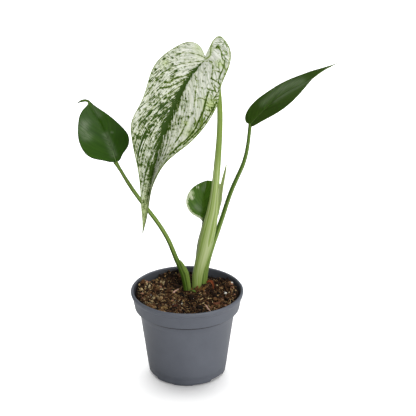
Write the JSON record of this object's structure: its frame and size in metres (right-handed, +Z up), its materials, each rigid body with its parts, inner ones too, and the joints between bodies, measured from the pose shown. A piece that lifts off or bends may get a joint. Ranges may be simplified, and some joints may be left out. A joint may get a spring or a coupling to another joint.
{
  "type": "potted monstera",
  "caption": "Young variegated monstera in a round grey nursery pot, with a big drooping cream and green leaf, smaller green leaves on slim petioles and a bark and peat mix.",
  "frame": {"origin": "centre of the flat pad under the pot, on the surface that the pot stands on; it is also the foot of the pot's axis", "axes": "+Z up along the pot's axis; -Y towards the side that the big leaf hangs on, the plant's best side; +X to the right when that side is faced"},
  "size_m": [0.2762, 0.1301, 0.369],
  "materials": {
    "pot": "satin moulded polypropylene, blue-grey",
    "soil": "loose dark peat and bark mix, matt",
    "stalk_pale": "smooth waxy pale yellow-green petiole",
    "stalk_green": "smooth waxy mid-green petiole",
    "leaf_variegated": "waxy cream blade with dark green streaks along the veins",
    "leaf_green": "glossy dark green blade",
    "husk": "dry brown plant fibre, matt",
    "bark": "weathered reddish-brown bark, matt",
    "perlite": "porous off-white grains, matt"
  },
  "bodies": {
    "root": {"pot": "pot", "soil": "soil", "buried_stem": "stalk_green", "main_petiole": "stalk_pale", "right_petiole": "stalk_green", "left_petiole": "stalk_green", "small_petiole": "stalk_green", "main_sheath": "stalk_pale", "right_sheath": "stalk_green", "left_sheath": "stalk_green", "main_leaf": "leaf_variegated", "left_leaf": "leaf_green", "right_leaf": "leaf_green", "small_leaf": "leaf_green", "dry_scale": "husk", "withered_sheath": "husk", "bud": "stalk_pale", "bark_chip_1": "bark", "bark_chip_2": "bark", "bark_chip_3": "bark", "peat_crumb_1": "husk", "peat_crumb_2": "husk", "peat_crumb_3": "husk", "peat_crumb_4": "husk", "perlite_1": "perlite", "perlite_2": "perlite", "twig_1": "husk", "twig_2": "perlite"}
  },
  "joints": []
}
